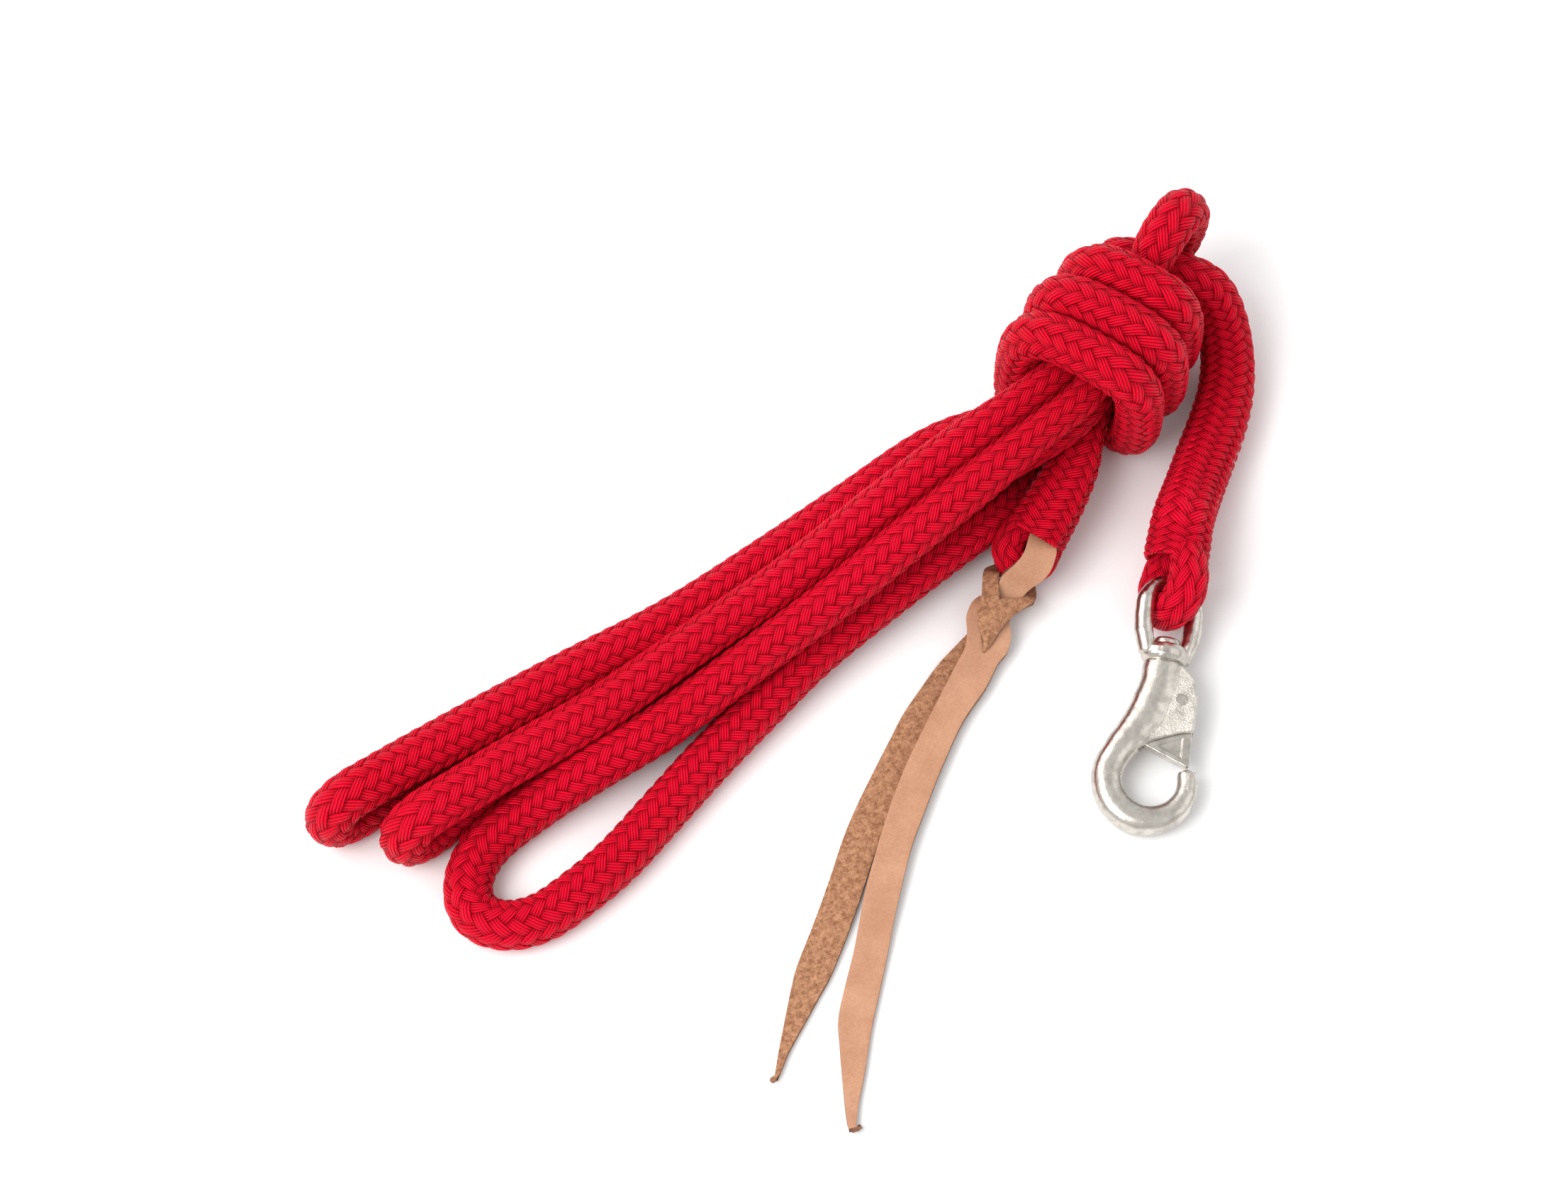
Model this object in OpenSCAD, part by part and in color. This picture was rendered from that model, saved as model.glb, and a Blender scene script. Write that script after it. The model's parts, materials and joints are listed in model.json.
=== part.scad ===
// Horse lead rope folded into a wrapped hank, with a swivel bull snap on one
// eye splice and a leather popper on the other. Millimetres.
// Frame: +X runs along the hank towards its wrapped end, +Z is up, the hank
// lies on Z = 0 and the origin is the middle of its footprint.

/* [Rope] */
// rope diameter
rope_d = 16; // [12:0.5:16.2]
// wall of the braided cover
cover_t = 2.6; // [1.5:0.1:3.5]
// diameter over each spliced throat
splice_d = 20; // [18:0.2:20.4]

/* [Snap bow] */
// clear width between the arms of the bow
bow_gap = 15.2; // [14.5:0.1:17]
// bar diameter of the bow
bow_bar = 5.2; // [4:0.1:6]
// outside diameter of the collar under the bow
collar_d = 16; // [14:0.5:18]

/* [Snap hook] */
// radius of the round seat of the hook
seat_r = 9.5; // [8.5:0.1:10.5]
// thickness of the hook body
body_t = 11; // [9:0.5:12]
// width of the bar at the bend
bar_w = 10.8; // [9:0.2:12]
// flat land along the seat
land = 5; // [3:0.5:6]
// gate thickness
gate_t = 5; // [4:0.1:5.2]
// gate rivet diameter
rivet_d = 4.2; // [3:0.1:5]

/* [Swivel] */
// post diameter
post_d = 6.4; // [5:0.1:7]
// radial running clearance of the post in the collar
post_gap = 0.06; // [0.02:0.01:0.1]

/* [Leather popper] */
// strap width
strap_w = 12; // [9:0.5:13]
// strap thickness
strap_t = 2.6; // [2:0.1:3]

/* [Hidden] */
$fn = 64;
rope_r = rope_d / 2;
splice_r = splice_d / 2;
neck = 6;
sides = 10;
// the assembly is drawn about the hank and moved so the footprint is centred
shift = [-9.6, 65.2, -0.08];
snap_at = [93, -99, 12.5];
snap_pitch = 6;
snap_yaw = -44;
bow_turn = 30;
slot_t = gate_t + 0.7;
hook_c = -42.7;
bow_c = 20.5;
arm_x = (bow_gap + bow_bar) / 2;
bar_y = bow_c + arm_x;

// ---- vectors and curves
function rx(p, a) = [p.x, p.y * cos(a) - p.z * sin(a), p.y * sin(a) + p.z * cos(a)];
function ry(p, a) = [p.x * cos(a) + p.z * sin(a), p.y, p.z * cos(a) - p.x * sin(a)];
function rz(p, a) = [p.x * cos(a) - p.y * sin(a), p.x * sin(a) + p.y * cos(a), p.z];
function on_snap(p) = snap_at + rz(rx(p, snap_pitch), snap_yaw);
function on_bow(p) = on_snap(ry(p, bow_turn));
function unit(v) = v / norm(v);
function p3(v) = [v.x, v.y, v.z];
function tangents(l) = [for (i = [0:len(l) - 1])
    unit(p3(l[min(i + 1, len(l) - 1)]) - p3(l[max(i - 1, 0)]))];
// ring directions carried along the line without twisting
function carried(t) = [for (i = 0, n = unit(cross(t[0], [0.31, 0.2, 0.93])); i < len(t);
    i = i + 1, n = i < len(t) ? unit(n - t[i] * (n * t[i])) : n) n];
function rings(l, t, n, r, m) = [for (i = [0:len(l) - 1]) for (k = [0:m - 1])
    p3(l[i]) + r[i] * (cos(360 * k / m) * n[i] + sin(360 * k / m) * cross(t[i], n[i]))];
function skin(c, m, o, s) = [for (i = [0:c - 2]) for (k = [0:m - 1])
    let (a = o + i * m + k, b = o + i * m + (k + 1) % m)
    s ? [a, a + m, b + m, b] : [a, b, b + m, a + m]];

module tube(l, r, m) {
    t = tangents(l);
    n = carried(t);
    c = len(l);
    polyhedron(rings(l, t, n, r, m), concat(skin(c, m, 0, true),
        [[for (k = [0:m - 1]) k]],
        [[for (k = [m - 1:-1:0]) (c - 1) * m + k]]));
}
module sleeve(l, r, q) {
    t = tangents(l);
    n = carried(t);
    c = len(l);
    m = c * sides;
    polyhedron(concat(rings(l, t, n, r, sides), rings(l, t, n, q, sides)), concat(
        skin(c, sides, 0, true), skin(c, sides, m, false),
        [for (k = [0:sides - 1]) let (j = (k + 1) % sides) [k, j, m + j, m + k]],
        [for (k = [0:sides - 1]) let (j = (k + 1) % sides, e = (c - 1) * sides)
            [e + j, e + k, m + e + k, m + e + j]]));
}

// ---- the line of the rope: x, y, z and radius
// the eye around the bow, along the snap and across it
snap_eye = [[7, -10.4, 5.4], [2.5, -10.7, 6.4], [-3.5, -9.8, 6.7], [-8.3, -6, 6.7], [-10.2, 0, 6.7],
    [-8.3, 6, 6.7], [-3.5, 9.8, 6.7], [3, 10.6, 6.9], [9.5, 8.6, 8], [15.5, 4.6, 9.3],
    [23, 1.5, splice_r]];
snap_lead = [[143, -52, 14, splice_r], [156, -43, 11, splice_r], [168, -35, 11, 9.8],
    [179, -26, 12, 9.4], [187, -16, 15, 9], [191.5, -6, 22, 8.6], [191.5, 2, 31, 8],
    [187, 8.5, 37, 7.2], [181.5, 15.5, 39.5, 6.5], [175.8, 23, 40, 6.5], [169.5, 30, 38, 7.2]];
// turns of the wrap, from the far side of the last one back to the first
wrap_a = 22;
wrap_b = 28;
wrap_y = -4.5;
wrap_z = 36;
wrap_x = 115;
wrap_pitch = 16.8;
wrap_lean = 0.33;
wrap_swing = 0.4;
function soft(v) = sign(v) * pow(abs(v), 0.6);
// the last turn is drawn tighter than the first two
function turn(a) = let (f = wrap_pitch * (a - 180) / 360, e = min(max((a - 960) / 200, 0), 1),
    c = (wrap_a - 4 * e) * soft(cos(a)))
    [wrap_x + f - wrap_lean * c, wrap_y + wrap_swing * (f - 10) + c,
    wrap_z - e + (wrap_b - 1.5 * e) * soft(sin(a)), rope_r];
wraps = [for (a = [1417.5:-22.5:292.5]) turn(a)];
// right leg of the open fold, the fold, and its upper leg
fold_c = [[111, -6, 8, rope_r], [100, -14, 9, 7.6], [84, -17, 11.6, 7.3],
    [60, -19.5, 15, 7.3], [30, -21.5, 15, 7.3], [-4, -24, 13, 7.4], [-30, -28, 10, 7.7],
    [-56, -33, 8.5, rope_r], [-80, -39, 8, rope_r], [-104, -45, 8, rope_r], [-123, -47, 8, rope_r],
    [-137, -47, 8, rope_r], [-149, -42, 8, rope_r], [-155, -32, 8, rope_r],
    [-150, -21, 8, rope_r], [-138, -14, 8.5, rope_r], [-120, -12.4, 10, rope_r],
    [-95, -14, 15, rope_r], [-65, -17, 19, 7.7], [-30, -17, 24.5, 7.3], [5, -17, 30, 7.3],
    [40, -16, 37, 7.3], [75, -15, 44, 7.1], [105, -13.5, 48.4, neck]];
// inside the wraps, back out as the lower leg of the middle fold
fold_b = [[120, -12.3, 48.4, neck], [132, -8.2, 48.4, neck], [140, -5.4, 48.4, 5.9],
    [145, -3.8, 46.6, 5.7], [147, -3.1, 42.2, 5.6], [145, -3.8, 37.8, 5.7], [140, -5.4, 36, 5.9],
    [132, -8.2, 36, neck], [120, -12.3, 36, neck], [105, -13, 35.5, neck], [75, -8, 29.5, 7.1],
    [40, -7, 22.5, 7.3], [5, -6, 17.5, 7.3], [-30, -6, 13, 7.3], [-65, -4.5, 8.5, 7.6],
    [-95, 1, 8, rope_r], [-120, 4, 8, rope_r], [-140, 3, 8, rope_r], [-151.5, 2, 8, rope_r],
    [-158, 1.5, 11, rope_r], [-161, 1.5, 17.5, rope_r], [-158, 1.5, 24, rope_r],
    [-151.5, 1.5, 27, rope_r], [-138, 1, 27, rope_r], [-120, 1, 25.5, rope_r],
    [-80, -1, 24.8, 7.7], [-40, -1, 28, 7.3], [0, -1, 31, 7.3], [40, 0, 38, 7.3],
    [75, 0, 45, 7.1], [105, 0, 48.4, neck]];
// the tall loop at the wrapped end, the upper leg of the end fold and its lower leg
fold_a = [[120, 1, 48.4, neck], [132, 5.2, 48.4, neck], [146, 9, 47, 5.8],
    [159, 11.5, 45.2, 6], [168.5, 13.8, 48.6, 6.1], [176.5, 17.5, 55.2, 7.8], [184, 20.5, 58, 8],
    [191.5, 23.5, 56.5, 8], [196.5, 25, 50, 8], [197.5, 25.5, 41, 7.8], [195, 25, 32, 7.4],
    [188, 22.5, 26, 7], [179, 19, 25, 6.8], [169, 15.5, 26.5, 6.4], [158, 11.5, 31, 5.9], [146, 9, 34.8, 5.8],
    [132, 5.2, 36, neck], [120, 1, 36, neck], [105, 0, 35.6, neck],
    [75, 10, 31, 7.1], [37, 12, 25, 7.3], [0, 12.5, 22.6, 7.3], [-40, 13, 23, 7.3],
    [-80, 16.5, 24.2, 7.7], [-110, 19, 24.6, rope_r], [-140, 21, 26, rope_r],
    [-160, 22, 27, rope_r], [-168.5, 22.5, 27, rope_r], [-175, 22.5, 24, rope_r],
    [-178, 22.5, 17.5, rope_r], [-175, 22.5, 11, rope_r], [-168.5, 22.5, 8, rope_r],
    [-145, 22, 8, rope_r], [-120, 21, 8, rope_r], [-100, 18.6, 8, rope_r], [-80, 15, 8, 7.6],
    [-40, 9.4, 8, 7.3], [0, 8.2, 8, 7.3], [37, 7, 9.8, 7.3], [75, 5, 16, 7.1],
    [105, 0, 22.8, neck]];
// inside the wraps and out again as the popper lead
popper_lead = [[120, 1, 23.4, neck], [132, 5.2, 23.4, neck], [140.5, 8, 22.8, 5.8],
    [145.6, 8, 22.6, 5.6], [149, 4.5, 22.6, 5.6], [149, -1, 22.6, 5.6], [145, -4.4, 22.8, 5.8],
    [132, -8.2, 23.4, neck], [123, -13.2, 22.2, 6.4], [115, -21, 21.5, 7.8],
    [106.5, -28.5, 20, 8.8]];
// the small eye that carries the popper, along the lead and across it
eye_at = [88.5, -38, 14];
eye_l = [0.885, 0.365, 0.29];
eye_w = [0.42, -0.86, -0.3];
eye_n = -cross(eye_l, eye_w);
function on_eye(p, q, n) = eye_at + p * eye_l + q * eye_w + n * eye_n;
popper_eye = [[12.5, 2, 9], [8, 6.2, 7.4], [3, 9, 6.3], [-3.5, 8.6, 6], [-7.5, 4.8, 6],
    [-8.8, 0, 6], [-7.5, -4.8, 6], [-4, -7.8, 6], [0, -8.6, 5.6], [3, -8.6, 4.6]];
rope_line = concat([for (e = snap_eye) concat(on_bow([0, bar_y + e[0], e[1]]), e[2])],
    snap_lead, wraps, fold_c, fold_b, fold_a, popper_lead,
    [for (e = popper_eye) concat(on_eye(e[0], e[1], 0), e[2])]);
// the leather strap: x, y, z, heading of its width, share of the full width
rear_tail = [[-105, -140, 1.5, -50, 0.1], [-99, -135, 1.5, -50, 0.35], [-88, -126.5, 1.5, -50, 0.75],
    [-76, -118, 1.5, -54, 1], [-62, -108, 1.5, -55, 0.96], [-44, -95, 1.5, -53, 0.94],
    [-24, -81, 1.5, -55, 0.94], [-4, -69, 1.5, -61, 0.94], [20, -57, 1.5, -65, 0.9],
    [40, -49, 1.5, -68, 0.8], [53, -44.5, 1.6, -66, 0.66],
    [66, -40.5, 2.2, -66, 0.56]];
front_tail = [[69, -45.5, 15, -64, 0.56], [58, -50.5, 9.5, -62, 0.66], [49, -56, 5.8, -61, 0.78], [38, -62, 4.7, -60, 0.9],
    [18, -74, 4.7, -56, 0.96], [-2, -88, 4.7, -54, 0.98], [-20, -101.5, 4.4, -53, 1],
    [-36, -114, 2.8, -52, 1], [-52, -126.5, 1.5, -51, 1], [-66, -137.5, 1.5, -49, 1],
    [-76, -147, 1.5, -46, 0.86], [-86, -158, 1.5, -42, 0.55], [-92, -165.5, 1.5, -40, 0.3],
    [-95, -169.5, 1.5, -39, 0.14]];
around = [[-8.8, -7.7], [-3.4, -5.5], [-1.1, 0], [-3.4, 5.5], [-8.8, 7.7]];
function flat_side(a) = [cos(a), sin(a), 0];
strap_line = concat([for (e = rear_tail) [p3(e), flat_side(e[3]), e[4]]],
    [for (e = around) [on_eye(e[0], 0, e[1]), unit(eye_w), 0.52]],
    [for (e = front_tail) [p3(e), flat_side(e[3]), e[4]]]);

module at_snap() {
    translate(snap_at) rotate([0, 0, snap_yaw]) rotate([snap_pitch, 0, 0]) children();
}
module at_bow() {
    at_snap() rotate([0, bow_turn, 0]) children();
}
// a round bar between two points
module bar(a, b, r) {
    v = b - a;
    translate(a) rotate([0, acos(v.z / norm(v)), atan2(v.y, v.x)])
        cylinder(r = r, h = norm(v), $fn = 24);
}

// ---- rope
module rope_cover() {
    color([0.72, 0.03, 0.07]) translate(shift)
        sleeve(rope_line, [for (e = rope_line) e[3]], [for (e = rope_line) e[3] - cover_t]);
}
module rope_core() {
    color([0.85, 0.82, 0.76]) translate(shift)
        tube(rope_line, [for (e = rope_line) e[3] - cover_t - 0.25], sides);
}
// locking stitch across a spliced throat
module stitch(a, d, r) {
    for (k = [-2.6, 0, 2.6]) bar(a + k * d[0] + (r - 1.2) * d[1], a + k * d[0] + (r + 0.4) * d[1], 0.5);
}
module snap_eye_stitching() {
    color([0.62, 0.03, 0.06]) translate(shift)
        stitch([143, -52, 14], [[0.8, 0.57, -0.19], [0.1, 0.19, 0.98]], splice_r);
}
module popper_eye_stitching() {
    color([0.62, 0.03, 0.06]) translate(shift)
        stitch([106.5, -28.5, 20], [[0.78, 0.6, 0.16], [0.42, -0.7, 0.58]], 8.8);
}

// ---- leather
module leather_popper() {
    n = len(strap_line);
    d = [for (i = [0:n - 1]) unit(strap_line[min(i + 1, n - 1)][0] - strap_line[max(i - 1, 0)][0])];
    m = [for (i = [0:n - 1]) unit(cross(d[i], strap_line[i][1]))];
    pts = [for (i = [0:n - 1]) for (c = [[-1, -1], [1, -1], [1, 1], [-1, 1]])
        strap_line[i][0] + c[0] * strap_w * strap_line[i][2] / 2 * strap_line[i][1]
        + c[1] * strap_t / 2 * m[i]];
    color([0.80, 0.56, 0.40]) translate(shift)
        polyhedron(pts, concat(skin(n, 4, 0, false), [[3, 2, 1, 0]],
            [[for (k = [0:3]) (n - 1) * 4 + k]]));
}

// ---- swivel bow
// middle line of the bar, from one side of the collar round to the other
bow_side = [[6.9, 3.6, 0], [8.2, 7, 0], [9.6, 10.5, 0], [arm_x, 15, 0]];
bow_line = concat([for (p = bow_side) [-p.x, p.y, 0]],
    [for (a = [180:-15:0]) [arm_x * cos(a), bow_c + arm_x * sin(a), 0]],
    [for (i = [3:-1:0]) bow_side[i]]);
collar_outline = [[0, 0.5], [collar_d / 2 - 1, 0.5], [collar_d / 2, 2.2], [collar_d / 2, 4.4],
    [collar_d / 2 - 1, 6.5], [0, 6.5]];
module swivel_bow() {
    color([0.78, 0.78, 0.76]) translate(shift) at_bow() {
        tube(bow_line, [for (p = bow_line) bow_bar / 2], 16);
        rotate([-90, 0, 0]) difference() {
            rotate_extrude() polygon(collar_outline);
            translate([0, 0, -1]) cylinder(d = post_d + 2 * post_gap, h = 9);
        }
    }
}
module swivel_post() {
    color([0.74, 0.74, 0.72]) translate(shift) at_snap() rotate([-90, 0, 0]) {
        translate([0, 0, -7.5]) cylinder(d = post_d, h = 14.4);
        translate([0, 0, 6.9]) rotate_extrude() polygon(concat([[0, 0], [5.1, 0]],
            [for (a = [0:15:75]) [3.7 + 1.4 * cos(a), 1.1 + 1.4 * sin(a)]], [[3, 2.75], [0, 2.95]]));
    }
}

// ---- hook
function land_profile(w, t) = let (x = seat_r, r = w / 2) concat(
    [[x - 1, 1.4 - land / 2], [x + 0.12 * w, -t * 0.40], [x + 0.32 * w, -t * 0.49]],
    [for (a = [-75:15:75]) [x + w * 0.5 + r * cos(a), t / 2 * sin(a)]],
    [[x + 0.32 * w, t * 0.49], [x + 0.12 * w, t * 0.40], [x - 1, land / 2 - 1.4]]);
// the bend tapers from behind the seat to the nose
bend_turn = [for (a = [-234:12.5:16]) a];
function taper(a) = max(0, (a + 104) / 120);
bend_rings = [for (a = bend_turn) for (p = land_profile(bar_w * (1 - 0.47 * taper(a)),
    body_t * (1 - 0.36 * taper(a)))) [p.x * cos(a), p.x * sin(a) + hook_c, p.y]];
bend_sides = len(land_profile(bar_w, body_t));
body_outline = [[-6.4, 0], [6.6, 0], [8.8, -1.6], [11.6, -5.4], [13, -11], [13.4, -18],
    [13.2, -24.4], [9, -25.2], [4, -27.2], [-1, -29.4], [-4.8, -32], [-8.2, -35.4], [-11.4, -39.9],
    [-20.6, -42.7], [-19.6, -37.6], [-17.2, -32], [-13.8, -25.4], [-10.6, -17.6], [-8.4, -10],
    [-7, -4]];
shank_outline = [[-5.8, 0], [3, 0], [4.2, -6], [3.6, -13], [1, -20], [-3.4, -27.4], [-6.4, -32],
    [-10, -36], [-19, -38], [-16.4, -32], [-13, -25.4], [-9.8, -17.6], [-7.6, -10], [-6.2, -4]];
slot_outline = [[3.2, -8.6], [15, -8.6], [15, -38.9], [6, -38.9], [-4.9, -33], [-7.8, -31],
    [-10.2, -28.4], [-11, -26.4], [-10, -25], [-3, -20.6], [2.4, -15]];
pivot = [7.4, -13.3, 0];
module hook_body() {
    color([0.79, 0.79, 0.77]) translate(shift) at_snap() difference() {
        union() {
            rotate([90, 0, 0]) cylinder(r1 = 6.4, r2 = 5.4, h = 5);
            translate([0, 0, -body_t * 0.41]) linear_extrude(body_t * 0.82) polygon(body_outline);
            translate([0, 0, -body_t / 2]) linear_extrude(body_t) polygon(shank_outline);
            polyhedron(bend_rings, concat(skin(len(bend_turn), bend_sides, 0, false),
                [[for (k = [bend_sides - 1:-1:0]) k]],
                [[for (k = [0:bend_sides - 1]) (len(bend_turn) - 1) * bend_sides + k]]));
        }
        translate([0, hook_c, -10]) cylinder(r = seat_r, h = 20);
        translate([0, 0, -slot_t / 2]) linear_extrude(slot_t) polygon(slot_outline);
        translate([0, 0.5, 0]) rotate([90, 0, 0]) cylinder(d = post_d, h = 8);
        translate([pivot.x, pivot.y, -10]) cylinder(d = rivet_d, h = 20);
    }
}
gate_outline = [[3.6, -14], [3.7, -21], [0.8, -25.8], [-4, -29.8], [-3.7, -30.6], [11.9, -36.9],
    [12.6, -36.9], [13, -35.4], [12.8, -26], [11.3, -14]];
gate_panel = [[1, -30.4], [9.6, -26.6], [9.8, -34]];
module gate() {
    color([0.76, 0.76, 0.74]) translate(shift) at_snap() difference() {
        union() {
            translate([0, 0, -gate_t / 2]) linear_extrude(gate_t) polygon(gate_outline);
            translate([pivot.x, pivot.y, -gate_t / 2]) cylinder(r = 3.9, h = gate_t);
        }
        for (s = [-1, 1]) translate([0, 0, s * gate_t / 2 - 0.5]) linear_extrude(1) polygon(gate_panel);
        translate([pivot.x, pivot.y, 0.8]) cylinder(r = 5, h = 4);
        translate([pivot.x, pivot.y, -4]) cylinder(d = rivet_d + 0.12, h = 8);
    }
}
module gate_rivet() {
    color([0.72, 0.72, 0.70]) translate(shift) at_snap() translate([pivot.x, pivot.y, 0]) {
        translate([0, 0, -body_t * 0.41 - 0.25]) cylinder(d = rivet_d, h = body_t * 0.82 + 0.5);
    }
}
module gate_spring() {
    color([0.55, 0.56, 0.58]) translate(shift) at_snap() translate(pivot) {
        translate([0, 0, 1.1]) difference() {
            cylinder(r = 3.3, h = 1.4);
            translate([0, 0, -1]) cylinder(d = rivet_d + 0.1, h = 4);
        }
        bar([0, 2.9, 1.8], [0, 4.4, 1.8], 0.4);
        bar([-2.5, -1.4, 1.8], [-3.9, -2.2, 1.8], 0.4);
    }
}

rope_cover();
rope_core();
snap_eye_stitching();
popper_eye_stitching();
leather_popper();
swivel_bow();
swivel_post();
hook_body();
gate();
gate_rivet();
gate_spring();
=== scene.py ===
import json
import math
import bpy
import numpy as np
from mathutils import Matrix, Vector

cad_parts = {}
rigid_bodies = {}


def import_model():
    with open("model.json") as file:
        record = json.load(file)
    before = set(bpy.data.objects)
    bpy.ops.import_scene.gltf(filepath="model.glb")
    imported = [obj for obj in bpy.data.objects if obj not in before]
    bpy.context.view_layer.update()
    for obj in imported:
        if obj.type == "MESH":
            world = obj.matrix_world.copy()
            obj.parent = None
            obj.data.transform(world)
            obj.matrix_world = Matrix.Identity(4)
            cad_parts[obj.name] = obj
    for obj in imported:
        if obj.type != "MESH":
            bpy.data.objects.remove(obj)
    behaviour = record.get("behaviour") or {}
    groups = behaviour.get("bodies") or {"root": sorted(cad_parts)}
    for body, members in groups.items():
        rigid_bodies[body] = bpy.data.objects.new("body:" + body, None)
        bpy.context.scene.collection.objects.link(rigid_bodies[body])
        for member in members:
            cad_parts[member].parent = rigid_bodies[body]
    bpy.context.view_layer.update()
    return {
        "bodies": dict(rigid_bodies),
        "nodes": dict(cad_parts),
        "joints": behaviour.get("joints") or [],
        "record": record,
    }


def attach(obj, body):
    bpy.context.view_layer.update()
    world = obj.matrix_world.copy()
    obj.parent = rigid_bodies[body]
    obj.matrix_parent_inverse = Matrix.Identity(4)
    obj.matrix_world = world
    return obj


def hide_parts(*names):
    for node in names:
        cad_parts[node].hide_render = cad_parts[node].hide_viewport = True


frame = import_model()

MM = 0.001

# ---------------------------------------------------------------- frames of the assembly
# lengths are in millimetres and angles in degrees, until a frame or MM turns them into metres
SHIFT = Vector((-9.6, 65.2, -0.08))
SNAP_AT = Vector((93, -99, 12.5))
SNAP_PITCH = 6
SNAP_YAW = -44
BOW_TURN = 30
BOW_C = 20.5
ARM_X = 10.2
BAR_Y = BOW_C + ARM_X
HOOK_C = -42.7


def turned(axis, degrees):
    """A turn about a named axis."""
    return Matrix.Rotation(math.radians(degrees), 4, axis)


ON_HANK = Matrix.Diagonal((MM, MM, MM, 1)) @ Matrix.Translation(SHIFT)
ON_SNAP = ON_HANK @ Matrix.Translation(SNAP_AT) @ turned("Z", SNAP_YAW) @ turned("X", SNAP_PITCH)
ON_BOW = ON_SNAP @ turned("Y", BOW_TURN)


# ---------------------------------------------------------------- camera
def camera():
    """The camera, made first, aimed at the middle of the hank."""
    elevation, heading, distance = math.radians(65), math.radians(36), 1.6
    away = Vector((math.sin(heading), math.cos(heading), 0))
    back = -away * math.cos(elevation) + Vector((0, 0, math.sin(elevation)))
    data = bpy.data.cameras.new("camera")
    data.lens = 104.2
    data.sensor_width = 36
    ob = bpy.data.objects.new("camera", data)
    bpy.context.scene.collection.objects.link(ob)
    target = ON_HANK @ Vector((0, 0, 20))
    ob.location = target + back * distance
    ob.rotation_euler = back.to_track_quat("Z", "Y").to_euler()
    bpy.context.scene.camera = ob


camera()

# ---------------------------------------------------------------- the line of the rope
ROPE_R = 8
SPLICE_R = 10
NECK = 6
# rows hold millimetres: a place on the hank and the radius of the rope there. The rows of the eyes
# and of the snap's throat hold a place along and across them instead, and the radius
SNAP_EYE = [[20, -2, 5], [13.5, -5, 5.4], [8, -7.8, 5.8], [3, -9.5, 6.3], [-3.5, -9.5, 6.6],
    [-8.3, -6, 6.7], [-10.2, 0, 6.7], [-8.3, 6, 6.7], [-3.5, 9.6, 6.7], [3, 9.6, 6.3],
    [8, 7.8, 5.8], [13.5, 5, 5.4], [20, 2, 5]]
SNAP_THROAT = [[9, 0, 10.8], [13, 0.4, 10.8], [18, 1, 10.6], [24, 1.5, 10.3]]
SNAP_LEAD = [[143, -52, 14, SPLICE_R], [156, -43, 11, SPLICE_R], [168, -35, 11, 9.8],
    [179, -26, 12, 9.4], [187, -16, 15, 9], [191.5, -6, 22, 8.6], [191.5, 2, 31, 8],
    [187, 8.5, 37, 7.2], [181.5, 15.5, 39.5, 6.5], [175.8, 23, 40, 6.5], [169.5, 30, 38, 7.2]]
# the wraps: half width and half height of a turn, the middle of them, the step from turn to turn,
# the slant of a turn and the drift of the turns across the hank
WRAP_A, WRAP_B = 22, 28
WRAP_X, WRAP_Y, WRAP_Z = 115, -4.5, 36
WRAP_PITCH, WRAP_LEAN, WRAP_SWING = 16.3, 0.33, 0.4
WRAP_FROM, WRAP_TO, WRAP_STEP = 1417.5, 292, -22.5
TIGHTER_FROM, TIGHTER_OVER = 960, 200
TIGHTER_A, TIGHTER_B, TIGHTER_Z = 4, 1.5, 1
SQUARENESS = 0.6         # 1 is an ellipse, less is squarer
FOLD_C = [[111, -6, 8, ROPE_R], [100, -14, 9, 7.6], [84, -17, 11.6, 7.3],
    [60, -19.5, 15, 7.3], [30, -21.5, 15, 7.3], [-4, -24, 13, 7.4], [-30, -28, 10, 7.7],
    [-56, -33, 8.5, ROPE_R], [-80, -39, 8, ROPE_R], [-104, -45, 8, ROPE_R], [-123, -47, 8, ROPE_R],
    [-137, -47, 8, ROPE_R], [-149, -42, 8, ROPE_R], [-155, -32, 8, ROPE_R],
    [-150, -21, 8, ROPE_R], [-138, -14, 8.5, ROPE_R], [-120, -12.4, 10, ROPE_R],
    [-95, -14, 15, ROPE_R], [-65, -17, 19, 7.7], [-30, -17, 24.5, 7.3], [5, -17, 30, 7.3],
    [40, -16, 37, 7.3], [75, -15, 44, 7.1], [105, -13.5, 48.4, NECK]]
FOLD_B = [[120, -12.3, 48.4, NECK], [132, -8.2, 48.4, NECK], [140, -5.4, 48.4, 5.9],
    [145, -3.8, 46.6, 5.7], [147, -3.1, 42.2, 5.6], [145, -3.8, 37.8, 5.7], [140, -5.4, 36, 5.9],
    [132, -8.2, 36, NECK], [120, -12.3, 36, NECK], [105, -13, 35.5, NECK], [75, -8, 29.5, 7.1],
    [40, -7, 22.5, 7.3], [5, -6, 17.5, 7.3], [-30, -6, 13, 7.3], [-65, -4.5, 8.5, 7.6],
    [-95, 1, 8, ROPE_R], [-120, 4, 8, ROPE_R], [-140, 3, 8, ROPE_R], [-151.5, 2, 8, ROPE_R],
    [-158, 1.5, 11, ROPE_R], [-161, 1.5, 17.5, ROPE_R], [-158, 1.5, 24, ROPE_R],
    [-151.5, 1.5, 27, ROPE_R], [-138, 1, 27, ROPE_R], [-120, 1, 25.5, ROPE_R],
    [-80, -1, 24.8, 7.7], [-40, -1, 28, 7.3], [0, -1, 31, 7.3], [40, 0, 38, 7.3],
    [75, 0, 45, 7.1], [105, 0, 48.4, NECK]]
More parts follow.
